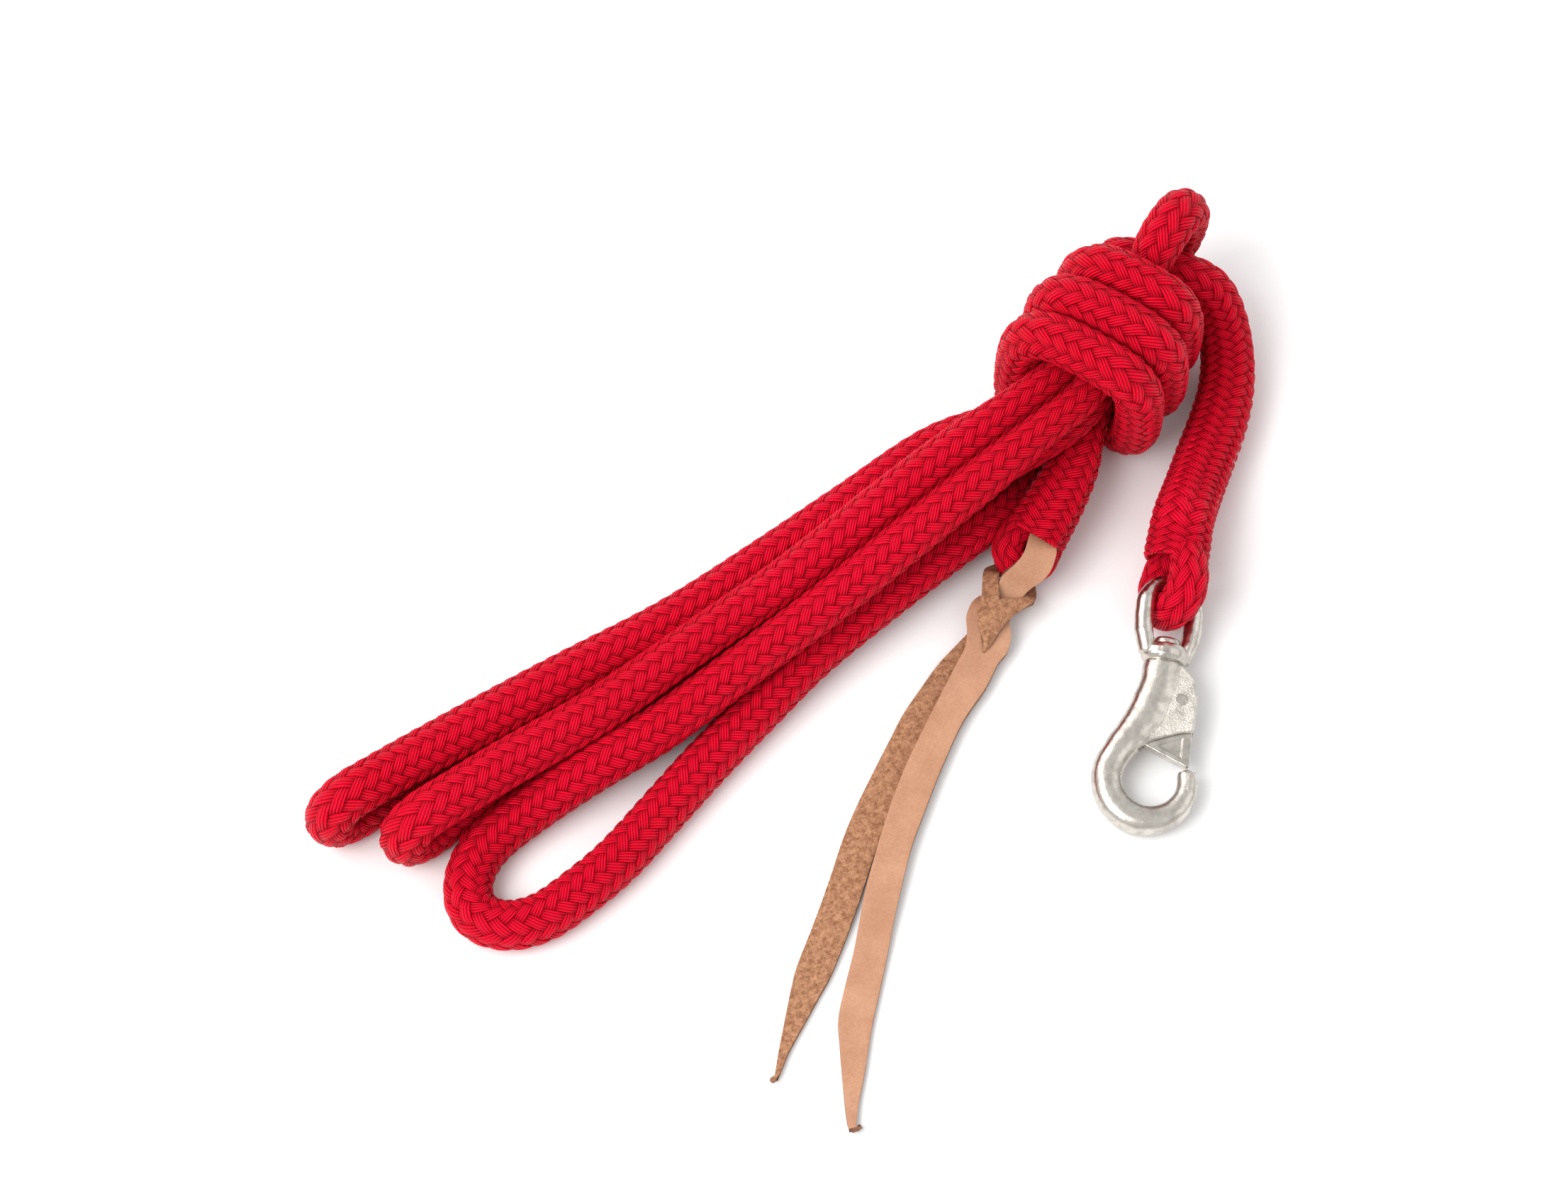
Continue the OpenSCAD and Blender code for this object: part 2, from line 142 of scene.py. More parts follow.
FOLD_A = [[120, 1, 48.4, NECK], [132, 5.2, 48.4, NECK], [146, 9, 47, 5.8],
    [159, 11.5, 45.2, 6], [168.5, 13.8, 48.6, 6.1], [176.5, 17.5, 55.2, 7.8], [184, 20.5, 58, 8],
    [191.5, 23.5, 56.5, 8], [196.5, 25, 50, 8], [197.5, 25.5, 41, 7.8], [195, 25, 32, 7.4],
    [188, 22.5, 26, 7], [179, 19, 25, 6.8], [169, 15.5, 26.5, 6.4], [158, 11.5, 31, 5.9],
    [146, 9, 34.8, 5.8], [132, 5.2, 36, NECK], [120, 1, 36, NECK], [105, 0, 35.6, NECK],
    [75, 10, 31, 7.1], [37, 12, 25, 7.3], [0, 12.5, 22.6, 7.3], [-40, 13, 23, 7.3],
    [-80, 16.5, 24.2, 7.7], [-110, 19, 24.6, ROPE_R], [-140, 21, 26, ROPE_R],
    [-160, 22, 27, ROPE_R], [-168.5, 22.5, 27, ROPE_R], [-175, 22.5, 24, ROPE_R],
    [-178, 22.5, 17.5, ROPE_R], [-175, 22.5, 11, ROPE_R], [-168.5, 22.5, 8, ROPE_R],
    [-145, 22, 8, ROPE_R], [-120, 21, 8, ROPE_R], [-100, 18.6, 8, ROPE_R], [-80, 15, 8, 7.6],
    [-40, 9.4, 8, 7.3], [0, 8.2, 8, 7.3], [37, 7, 9.8, 7.3], [75, 5, 16, 7.1],
    [105, 0, 22.8, NECK]]
POPPER_LEAD = [[120, 1, 23.4, NECK], [132, 5.2, 23.4, NECK], [140.5, 8, 22.8, 5.8],
    [145.6, 8, 22.6, 5.6], [149, 4.5, 22.6, 5.6], [149, -1, 22.6, 5.6], [145, -4.4, 22.8, 5.8],
    [132, -8.2, 23.4, NECK], [123, -13.6, 22.4, 6.6], [115, -19.4, 22, 8.4],
    [107, -24.2, 21, 9.2], [98, -28.6, 19.6, 10], [90.5, -31.6, 17.6, 10.5],
    [86.4, -33.2, 15.9, 10.8]]
# the popper's eye: its middle, the way along it and the way across it
EYE_AT = Vector((81, -35.2, 13.6))
EYE_L = Vector((0.885, 0.365, 0.29))
EYE_W = Vector((0.42, -0.86, -0.3))
POPPER_EYE = [[16, 2, 4], [11, 3.5, 4.8], [6, 5.4, 5.4], [1, 6.4, 5.6], [-3, 5.8, 5.7],
    [-5.6, 3.3, 5.8], [-6.5, 0, 5.8], [-5.6, -3.3, 5.8], [-3, -5.8, 5.8], [1, -6.4, 5.6],
    [6, -5.4, 5.4], [11, -3.5, 4.8], [16, -2, 4]]


def wrap_turn(a):
    """A point of the wraps: they are drawn tighter where the angle a is high, at the snap's end."""
    def soft(v):
        return math.copysign(abs(v) ** SQUARENESS, v)
    forward = WRAP_PITCH * (a - 180) / 360
    tight = min(max((a - TIGHTER_FROM) / TIGHTER_OVER, 0), 1)
    across = (WRAP_A - TIGHTER_A * tight) * soft(math.cos(math.radians(a)))
    up = (WRAP_B - TIGHTER_B * tight) * soft(math.sin(math.radians(a)))
    return [WRAP_X + forward - WRAP_LEAN * across, WRAP_Y + WRAP_SWING * (forward - 10) + across,
        WRAP_Z - TIGHTER_Z * tight + up, ROPE_R]


def route():
    """The eye at the snap, the rope between the two throats, and the eye at the popper."""
    def placed(frame, rows):
        return np.array([[*(frame @ Vector(row[:3])), row[3] * MM] for row in rows])
    wraps = [wrap_turn(a) for a in np.arange(WRAP_FROM, WRAP_TO, WRAP_STEP)]
    snap_eye = placed(ON_BOW, [(0, BAR_Y + p, q, r) for p, q, r in SNAP_EYE])
    throat = placed(ON_BOW, [(0, BAR_Y + p, q, r) for p, q, r in SNAP_THROAT])
    rope = placed(ON_HANK, SNAP_LEAD + wraps + FOLD_C + FOLD_B + FOLD_A + POPPER_LEAD)
    popper_eye = placed(ON_HANK,
        [(*(EYE_AT + p * EYE_L + q * EYE_W), r) for p, q, r in POPPER_EYE])
    return snap_eye, np.vstack([throat, rope]), popper_eye


def spline(rows, per_span=10):
    """A Catmull-Rom curve through the rows."""
    rows = np.asarray(rows, float)
    a = np.vstack([rows[:1], rows[:-1]])[:-1]
    b, c = rows[:-1], rows[1:]
    d = np.vstack([rows[1:], rows[-1:]])[1:]
    t = (np.arange(per_span) / per_span)[None, :, None]
    a, b, c, d = (m[:, None, :] for m in (a, b, c, d))
    curve = 0.5 * (2 * b + (c - a) * t + (2 * a - 5 * b + 4 * c - d) * t ** 2
        + (3 * b - a - 3 * c + d) * t ** 3)
    return np.vstack([curve.reshape(-1, rows.shape[1]), rows[-1:]])


def evened(rows, step):
    """The same curve with points a fixed step apart along it."""
    gone = np.concatenate([[0], np.cumsum(np.linalg.norm(np.diff(rows[:, :3], axis=0), axis=1))])
    at = np.linspace(0, gone[-1], max(2, round(gone[-1] / step)))
    return np.stack([np.interp(at, gone, rows[:, k]) for k in range(rows.shape[1])], 1), gone[-1]


def eased(rows, step, reach):
    """Rows averaged along the curve with a bell of the given reach, its ends kept."""
    half = int(3 * reach / step)
    bell = np.exp(-0.5 * (np.arange(-half, half + 1) * step / reach) ** 2)
    bell /= bell.sum()
    # mirrored through its ends, so that they stay
    head = 2 * rows[0] - rows[half:0:-1]
    tail = 2 * rows[-1] - rows[-2:-half - 2:-1]
    long = np.vstack([head, rows, tail])
    return np.stack([np.convolve(long[:, k], bell, "valid") for k in range(rows.shape[1])], 1)


def frames_along(points):
    """Tangent and two side directions at every point, carried without twist."""
    along = np.gradient(points, axis=0)
    along /= np.linalg.norm(along, axis=1)[:, None]
    side = np.cross(along[0], (0.31, 0.2, 0.93))
    sides = []
    for t in along:
        side = side - t * side.dot(t)
        side = side / np.linalg.norm(side)
        sides.append(side)
    sides = np.array(sides)
    return along, sides, np.cross(along, sides)


# ---------------------------------------------------------------- mesh helpers
def new_object(name, verts, faces, uv=None):
    """A smooth mesh object; uv holds a pair for every face corner."""
    mesh = bpy.data.meshes.new(name)
    mesh.from_pydata([tuple(v) for v in verts], [], [tuple(f) for f in faces])
    if uv is not None:
        layer = mesh.uv_layers.new(name="weave")
        layer.data.foreach_set("uv", np.asarray(uv, np.float32).ravel())
    mesh.polygons.foreach_set("use_smooth", [True] * len(mesh.polygons))
    mesh.update()
    ob = bpy.data.objects.new(name, mesh)
    bpy.context.scene.collection.objects.link(ob)
    return ob


# ---------------------------------------------------------------- braid
CARRIERS = 10            # strands that turn each way
BRAID_LIFT = 1.9 * MM    # height of a pick over the groove beside it
STRAND_TURN = 7.38 * MM  # length of strand in one pick, which a fatter rope lays flatter
FATTEST = 11.5 * MM      # radius past which a pick gets no shorter
ARCH, EDGE = 0.55, 0.45  # how much of a pick's height is its arch and how much its round edges
MEAN_HEIGHT = 0.55
# turned-in mouth of a splice: how far out, part of the radius, picks past the end of the tube
LIPS = [(0.8, 0.95, 0.15), (0.9, 0.86, 0.3), (-2, 0.78, 0.6), (-7, 0.72, 1.0)]


def braid_height(u, v):
    """Height of a two-over two-under braid, 0 to about 1; u counts strands round, v picks along."""
    def strand(across, along, start):
        i = np.round(across)
        edge = np.clip(1 - np.abs(2 * (across - i)) ** 4, 0, 1) ** 0.5
        wave = np.cos(math.pi / 2 * (along + i - start))
        return ARCH * np.sign(wave) * np.abs(wave) ** 0.5 + EDGE * edge
    right = strand(u - v, u + v, 0.5)
    left = strand(u + v, u - v, 2.5)
    return np.maximum(right, left)


def braided(rows, step, sides, lips):
    """A tube along rows (x, y, z, radius) with its braid raised, as corners, faces and weave map.

    With lips, both ends turn in like the mouth of a splice; without, they are plain."""
    rows, length = evened(rows, step)
    along, side, up = frames_along(rows[:, :3])
    n = len(rows)
    theta = 2 * math.pi * np.arange(sides) / sides
    u = np.broadcast_to(CARRIERS * np.arange(sides) / sides, (n, sides))
    around = 2 * math.pi * np.minimum(rows[:, 3], FATTEST) / CARRIERS
    pick = np.sqrt(STRAND_TURN ** 2 - around ** 2)
    gone = np.concatenate([[0], np.cumsum(length / (n - 1) / pick[1:])])
    v = np.broadcast_to(gone[:, None], (n, sides))
    lift = (braid_height(u, v) - MEAN_HEIGHT) * BRAID_LIFT
    radius = rows[:, 3:4] * (1 + lift / (ROPE_R * MM))
    ring = np.cos(theta)[None, :, None] * side[:, None] + np.sin(theta)[None, :, None] * up[:, None]
    rings = rows[:, None, :3] + ring * radius[..., None]
    if lips:
        head = [rows[0, :3] - along[0] * out * MM + ring[0] * radius[0][:, None] * part
            for out, part, _ in LIPS]
        tail = [rows[-1, :3] + along[-1] * out * MM + ring[-1] * radius[-1][:, None] * part
            for out, part, _ in LIPS]
        rings = np.concatenate([np.array(head[::-1]), rings, np.array(tail)])
        past = np.array([picks for _, _, picks in LIPS])
        gone = np.concatenate([gone[0] - past[::-1], gone, gone[-1] + past])
        n = len(rings)
    verts = rings.reshape(-1, 3)
    i, k = np.meshgrid(np.arange(n - 1), np.arange(sides), indexing="ij")
    k2 = (k + 1) % sides
    faces = np.stack([i * sides + k, i * sides + k2, (i + 1) * sides + k2, (i + 1) * sides + k], -1)
    faces = faces.reshape(-1, 4).tolist()
    du = CARRIERS / sides
    corner = np.stack([np.stack([k * du, gone[i]], -1), np.stack([(k + 1) * du, gone[i]], -1),
        np.stack([(k + 1) * du, gone[i + 1]], -1), np.stack([k * du, gone[i + 1]], -1)], 2)
    corner = corner.reshape(-1, 2)
    caps = [list(range(sides))[::-1], [(n - 1) * sides + j for j in range(sides)]]
    corner = np.vstack([corner, np.zeros((2 * sides, 2))])
    return verts, faces + caps, corner


# ---------------------------------------------------------------- material helpers
class Nodes:
    """A short way to write node trees: each call makes a node and returns its output."""

    def __init__(self, name):
        self.material = bpy.data.materials.new(name)
        self.material.use_nodes = True
        self.tree = self.material.node_tree
        self.shader = self.tree.nodes["Principled BSDF"]

    def feed(self, socket, value):
        if isinstance(value, bpy.types.NodeSocket):
            self.tree.links.new(value, socket)
        else:
            socket.default_value = value

    def set(self, **values):
        for key, value in values.items():
            self.feed(self.shader.inputs[key.replace("_", " ")], value)

    def math(self, operation, a, b=0.0):
        node = self.tree.nodes.new("ShaderNodeMath")
        node.operation = operation
        for socket, value in zip(node.inputs, (a, b)):
            self.feed(socket, value)
        return node.outputs[0]

    def uv(self):
        node = self.tree.nodes.new("ShaderNodeUVMap")
        node.uv_map = "weave"
        split = self.tree.nodes.new("ShaderNodeSeparateXYZ")
        self.feed(split.inputs[0], node.outputs[0])
        return split.outputs[0], split.outputs[1]

    def place(self):
        return self.tree.nodes.new("ShaderNodeTexCoord").outputs["Object"]

    def triple(self, x, y, z):
        node = self.tree.nodes.new("ShaderNodeCombineXYZ")
        for socket, value in zip(node.inputs, (x, y, z)):
            self.feed(socket, value)
        return node.outputs[0]

    def noise(self, vector, scale, detail=3.0, roughness=0.5):
        node = self.tree.nodes.new("ShaderNodeTexNoise")
        self.feed(node.inputs["Vector"], vector)
        node.inputs["Scale"].default_value = scale
        node.inputs["Detail"].default_value = detail
        node.inputs["Roughness"].default_value = roughness
        return node.outputs[0]

    def spread(self, value, low, high, to_low=0.0, to_high=1.0):
        node = self.tree.nodes.new("ShaderNodeMapRange")
        for socket, v in zip(node.inputs, (value, low, high, to_low, to_high)):
            self.feed(socket, v)
        return node.outputs[0]

    def mix(self, factor, a, b):
        node = self.tree.nodes.new("ShaderNodeMix")
        node.data_type = "RGBA"
        self.feed(node.inputs[0], factor)
        self.feed(node.inputs[6], a)
        self.feed(node.inputs[7], b)
        return node.outputs[2]

    def bump(self, height, strength, distance, normal=None):
        node = self.tree.nodes.new("ShaderNodeBump")
        node.inputs["Strength"].default_value = strength
        node.inputs["Distance"].default_value = distance
        self.feed(node.inputs["Height"], height)
        if normal is not None:
            self.feed(node.inputs["Normal"], normal)
        return node.outputs[0]


LIT_RED, DULL_RED = (0.95, 0.004, 0.032, 1), (0.82, 0.0025, 0.022, 1)
# the first colour on the next line is painted shade, for the grooves between picks and between yarns
GROOVE_SHADE_RED, FIBRE_RED = (0.20, 0.001, 0.004, 1), (0.86, 0.012, 0.035, 1)
SHEEN_RED, GLINT_RED = (1.0, 0.08, 0.12, 1), (1.0, 0.16, 0.2, 1)


def rope_material():
    """Braided yarns: the same over and under rule as the mesh, with yarns and fibres in each pick and
    painted shade between picks and yarns.
    """
    m = Nodes("rope_red")
    u, v = m.uv()
    a, b = m.math("SUBTRACT", u, v), m.math("ADD", u, v)

    def strand(across, along, start):
        i = m.math("ROUND", across)
        off = m.math("SUBTRACT", across, i)
        edge = m.math("SQRT", m.math("MAXIMUM", m.math("SUBTRACT", 1.0,
            m.math("POWER", m.math("ABSOLUTE", m.math("MULTIPLY", off, 2.0)), 4.0)), 0.0))
        wave = m.math("COSINE", m.math("MULTIPLY", m.math("ADD", m.math("ADD", along, i), -start),
            math.pi / 2))
        wave = m.math("MULTIPLY", m.math("SIGN", wave),
            m.math("POWER", m.math("ABSOLUTE", wave), 0.5))
        height = m.math("ADD", m.math("MULTIPLY", wave, ARCH), m.math("MULTIPLY", edge, EDGE))
        yarn = m.math("ABSOLUTE", m.math("SINE", m.math("MULTIPLY", m.math("ADD", off, 0.5),
            4 * math.pi)))
        fibre = m.noise(m.triple(m.math("MULTIPLY", across, 22.0), m.math("MULTIPLY", along, 1.6),
            start), 1.0, 2.0)
        return height, yarn, fibre

    right, yarn_r, fibre_r = strand(a, b, 0.5)
    left, yarn_l, fibre_l = strand(b, a, 2.5)
    is_left = m.math("GREATER_THAN", left, right)

    def pick(on_right, on_left):
        return m.math("ADD", m.math("MULTIPLY", on_left, is_left),
            m.math("MULTIPLY", on_right, m.math("SUBTRACT", 1.0, is_left)))

    height = m.math("MAXIMUM", right, left)
    yarn = m.math("POWER", pick(yarn_r, yarn_l), 0.6)
    fibre = pick(fibre_r, fibre_l)
    # painted shade: light on the crests of the picks, darkening down their sides into the grooves and
    # between the yarns
    low = m.spread(height, 0.35, 0.98)
    lit = m.math("MULTIPLY", low, m.spread(yarn, 0.0, 0.7, 0.3, 1.0))
    cloud = m.noise(m.place(), 14.0, 2.0)
    bright = m.mix(m.spread(cloud, 0.3, 0.7), DULL_RED, LIT_RED)
    deep = m.mix(lit, GROOVE_SHADE_RED, bright)
    m.set(Base_Color=m.mix(m.spread(fibre, 0.4, 0.75, 0.0, 0.3), deep, FIBRE_RED))
    m.set(Roughness=m.spread(fibre, 0.3, 0.7, 0.38, 0.55), Sheen_Weight=0.12, Sheen_Roughness=0.4)
    m.set(Sheen_Tint=SHEEN_RED, Specular_Tint=GLINT_RED)
    m.shader.inputs["Specular IOR Level"].default_value = 0.18
    rough = m.bump(fibre, 0.35, 0.0003)
    m.set(Normal=m.bump(yarn, 1.0, 0.0009, rough))
    return m.material


NICKEL, NICKEL_DARK = (0.66, 0.62, 0.56, 1), (0.42, 0.39, 0.35, 1)


def nickel_material(name, smooth, dull, grit):
    """Nickel plate over a casting: smooth and dull are roughnesses, grit the depth of its pits."""
    m = Nodes(name)
    at = m.place()
    pits = m.noise(at, 1500.0, 4.0, 0.65)
    waves = m.noise(at, 130.0, 2.0)
    patches = m.noise(at, 260.0, 4.0, 0.6)
    m.set(Base_Color=m.mix(m.spread(patches, 0.4, 0.7), NICKEL, NICKEL_DARK))
    m.set(Roughness=m.spread(patches, 0.3, 0.75, smooth, dull), Metallic=1.0)
    fine = m.bump(pits, grit, 0.0004)
    m.set(Normal=m.bump(waves, 0.22, 0.0015, fine))
    return m.material


def leather_material(name, light, dark, rough, depth, scale, clouds):
    """Leather: colours, a pair of roughnesses, depth and scale of its nap, scale of its clouds."""
    m = Nodes(name)
    at = m.place()
    cloud = m.noise(at, clouds, 4.0, 0.6)
    nap = m.noise(at, scale, 5.0, 0.7)
    crease = m.noise(at, 260.0, 3.0, 0.6)
    speck = m.math("ADD", m.math("MULTIPLY", cloud, 0.5), m.math("MULTIPLY", nap, 0.5))
    m.set(Base_Color=m.mix(m.spread(speck, 0.40, 0.60), dark, light))
    m.set(Roughness=m.spread(nap, 0.3, 0.7, *rough))
    m.shader.inputs["Specular IOR Level"].default_value = 0.3
    m.set(Normal=m.bump(nap, depth, 0.0005, m.bump(crease, 0.25, 0.0008)))
    return m.material


def leather_materials():
    """The smooth grain side, the rough flesh side and the cut edge of the strap."""
    grain = leather_material("leather_grain", (0.52, 0.275, 0.165, 1), (0.42, 0.205, 0.115, 1),
        (0.45, 0.6), 0.12, 1300.0, 70.0)
    flesh = leather_material("leather_flesh", (0.52, 0.265, 0.145, 1), (0.24, 0.10, 0.048, 1),
        (0.85, 1.0), 0.9, 1100.0, 420.0)
    edge = leather_material("leather_edge", (0.33, 0.175, 0.10, 1), (0.15, 0.07, 0.04, 1),
        (0.8, 0.95), 0.8, 2200.0, 300.0)
    return grain, flesh, edge


# ---------------------------------------------------------------- rope
ROUTE_STEP = 2 * MM
EASED_EYE, EASED_ROPE = 1.2 * MM, 3 * MM
RING_STEP = 0.8 * MM
ROPE_SIDES = 72


def rope():
    """The two eyes and the rope between them, as one braided piece."""
    parts = []
    for rows, reach in zip(route(), (EASED_EYE, EASED_ROPE, EASED_EYE)):
        rows, _ = evened(spline(rows), ROUTE_STEP)
        parts.append(eased(rows, ROUTE_STEP, reach))
    verts, faces, weave = [], [], []
    for rows, lips in zip(parts, (False, True, False)):
        v, f, w = braided(rows, RING_STEP, ROPE_SIDES, lips)
        start = sum(len(x) for x in verts)
        faces += [[i + start for i in face] for face in f]
        verts.append(v)
        weave.append(w)
    verts = np.vstack(verts)
    # pressed flat where it rests on the table
    verts[:, 2] = np.maximum(verts[:, 2], 0)
    ob = new_object("lead_rope", verts, faces, np.vstack(weave))
    ob.data.materials.append(rope_material())
    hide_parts("rope_cover", "rope_core")
    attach(ob, "lead")


rope()

# ---------------------------------------------------------------- snap
SEAT_R = 9.5
BAR_HALF, BAR_DEEP = 5.5, 5.6
SEAT_FROM, SEAT_TO, SEAT_STEP = 165, 375, 9.5
NOSE_FROM, NOSE_OVER = 256, 118  # the bar tapers from this angle on, over so many degrees
NOSE_THIN, NOSE_SHALLOW = 0.38, 0.36
SLOT_T = 5.7
PLATE_T = 7.8
# middle of the shank in the plane of the snap, half its width, half its thickness
SHANK = [(-0.2, 1.2, 6.6, 5.2), (-0.3, -2, 7, 5.6), (-0.5, -7, 7, 5.6), (-2, -13, 7, 5.6),
    (-3.9, -20, 7.3, 5.6), (-8.2, -27, 6.2, 5.6), (-12, -33, 5.5, 5.6)]
PLATE = [(3, -0.4), (6.6, -0.4), (8.8, -1.8), (11.6, -5.4), (13, -11), (13.4, -18), (13.2, -24.4),
    (9, -25.2), (4, -27.2), (-1, -29.4), (-4.8, -32), (-8.4, -35), (-11, -32), (-6, -18), (-2, -6)]
SLOT = [(3.2, -8.6), (15, -8.6), (15, -38.9), (6, -38.9), (-4.9, -33), (-7.8, -31),
    (-10.2, -28.4), (-11, -26.4), (-10, -25), (-3, -20.6), (2.4, -15)]


def prism(outline, thick):
    """Corners and faces of an outline in the plane of the snap given a thickness."""
    n = len(outline)
    verts = [(x, y, -thick / 2) for x, y in outline] + [(x, y, thick / 2) for x, y in outline]
    faces = [tuple(range(n)), tuple(range(2 * n - 1, n - 1, -1))]
    faces += [(i, n + i, n + (i + 1) % n, (i + 1) % n) for i in range(n)]
    return verts, faces


def hook_bar():
    """The round bar of the hook: down the shank, round the seat and tapered to the nose."""
    rows = list(SHANK)
    for a in np.arange(SEAT_FROM, SEAT_TO, SEAT_STEP):
        thin = max(0, (a - NOSE_FROM) / NOSE_OVER)
        half = BAR_HALF * (1 - NOSE_THIN * thin)
        rows.append((math.cos(math.radians(a)) * (SEAT_R + half),
            HOOK_C + math.sin(math.radians(a)) * (SEAT_R + half), half,
            BAR_DEEP * (1 - NOSE_SHALLOW * thin)))
    x, y, half, deep = rows[-1]
    # the rounded end of the nose
    for ahead, part in ((0.9, 0.93), (1.8, 0.75), (2.4, 0.45)):
        rows.append((x - 0.25 * ahead, y + 0.97 * ahead, half * part, deep * part))
    rows = spline(rows, 4)
    along = np.gradient(rows[:, :2], axis=0)
    along /= np.linalg.norm(along, axis=1)[:, None]
    sides, square = 28, 0.85
    verts = []
    for (x, y, half, deep), (dx, dy) in zip(rows, along):
        for k in range(sides):
            c, s = math.cos(2 * math.pi * k / sides), math.sin(2 * math.pi * k / sides)
            out = half * math.copysign(abs(c) ** square, c)
            verts.append((x + dy * out, y - dx * out, deep * math.copysign(abs(s) ** square, s)))
    n = len(rows)
    faces = [(i * sides + k, i * sides + (k + 1) % sides, (i + 1) * sides + (k + 1) % sides,
        (i + 1) * sides + k) for i in range(n - 1) for k in range(sides)]
    faces += [tuple(range(sides))[::-1], tuple(range((n - 1) * sides, n * sides))]
    return verts, faces


def joined(pieces):
    """Several lots of corners and faces as one."""
    verts, faces = [], []
    for v, f in pieces:
        faces += [tuple(i + len(verts) for i in face) for face in f]
        verts += v
    return verts, faces


def finished(ob):
    """The object's modifiers made part of its mesh."""
    bpy.context.view_layer.update()
    mesh = bpy.data.meshes.new_from_object(ob.evaluated_get(bpy.context.evaluated_depsgraph_get()))
    ob.modifiers.clear()
    ob.data = mesh
    mesh.polygons.foreach_set("use_smooth", [True] * len(mesh.polygons))
    return ob


def cast(ob, voxel, rounds):
    """Fuses what overlaps and rounds its edges, as a casting's are."""
    remesh = ob.modifiers.new("fuse", "REMESH")
    remesh.mode = "VOXEL"
    remesh.voxel_size = voxel * MM
    smooth = ob.modifiers.new("round", "SMOOTH")
    smooth.factor = 0.5
    smooth.iterations = rounds
    return finished(ob)


def cast_copy(node, name, body, voxel, rounds, material):
    """A rounded copy of a CAD node, which it replaces, on its body."""
    ob = bpy.data.objects.new(name, bpy.data.objects[node].data.copy())
    bpy.context.scene.collection.objects.link(ob)
    cast(ob, voxel, rounds)
    ob.data.materials.clear()
    ob.data.materials.append(material)
    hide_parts(node)
    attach(ob, body)
    return ob


SANDY_FLAT = 0.985       # how squarely a face has to look up or down to be left sandy
SANDY_FROM_X = -2


def hook(polished, sandy):
    """The hook: bar and plate fused, the gate's slot cut through, and the sandy faces of the plate."""
    verts, faces = joined([hook_bar(), prism(PLATE, PLATE_T)])
    ob = new_object("hook_casting", [ON_SNAP @ Vector(v) for v in verts], faces)
    cast(ob, 0.45, 6)
    verts, faces = prism(SLOT, SLOT_T)
    cutter = new_object("slot_cutter", [ON_SNAP @ Vector(v) for v in verts], faces)
    cut = ob.modifiers.new("slot", "BOOLEAN")
    cut.object = cutter
    cut.operation = "DIFFERENCE"
    finished(ob)
    bpy.data.objects.remove(cutter)
    ob.data.materials.clear()
    ob.data.materials.append(polished)
    ob.data.materials.append(sandy)
    to_snap = ON_SNAP.inverted()
    up = (ON_SNAP.to_3x3() @ Vector((0, 0, 1))).normalized()
    for face in ob.data.polygons:
        at = to_snap @ face.center
        on_plate = abs(at.z) < PLATE_T / 2 + 0.1 and at.x > SANDY_FROM_X
        if on_plate and abs(face.normal.dot(up)) > SANDY_FLAT:
            face.material_index = 1
    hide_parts("hook_body")
    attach(ob, "hook")


STOUTER = 0.9 * MM
COLLAR_EDGE, COLLAR_FADE = 5.5, 3
BAR_EDGE, BAR_FADE = 2.5, 6


def stouter(bow):
    """The arms of the bow made thicker, but not its collar or the bar that holds the rope."""
    to_bow = ON_BOW.inverted()
    normals = [vertex.normal.copy() for vertex in bow.data.vertices]
    for vertex, normal in zip(bow.data.vertices, normals):
        at = to_bow @ vertex.co
        off_collar = min(max((abs(at.x) - COLLAR_EDGE) / COLLAR_FADE, 0), 1)
        off_bar = min(max((BAR_Y - BAR_EDGE - at.y) / BAR_FADE, 0), 1)
        vertex.co += normal * STOUTER * off_collar * off_bar


def snap():
    """The castings of the snap and the nickel finish of its spring."""
    bright = nickel_material("nickel_bright", 0.18, 0.30, 0.08)
    hook(nickel_material("nickel_polished", 0.20, 0.35, 0.14),
        nickel_material("nickel_sandy", 0.28, 0.5, 0.8))
    stouter(cast_copy("swivel_bow", "bow_casting", "bow", 0.3, 10, bright))
    cast_copy("swivel_post", "swivel_stud", "hook", 0.25, 3, bright)
    cast_copy("gate", "gate_casting", "latch", 0.2, 4, bright)
    cast_copy("gate_rivet", "rivet", "hook", 0.15, 4, bright)
    spring = bpy.data.objects["gate_spring"].data
    spring.materials.clear()
    spring.materials.append(bright)


snap()

# ---------------------------------------------------------------- leather popper
STRAP_T = 2.4
STRAP_ACROSS = 5         # points across each half of a strap
STRAP_ALONG = 6          # points from a station to the next
TIP_ROWS = 9             # rows of faces at the end of a tail that are dark
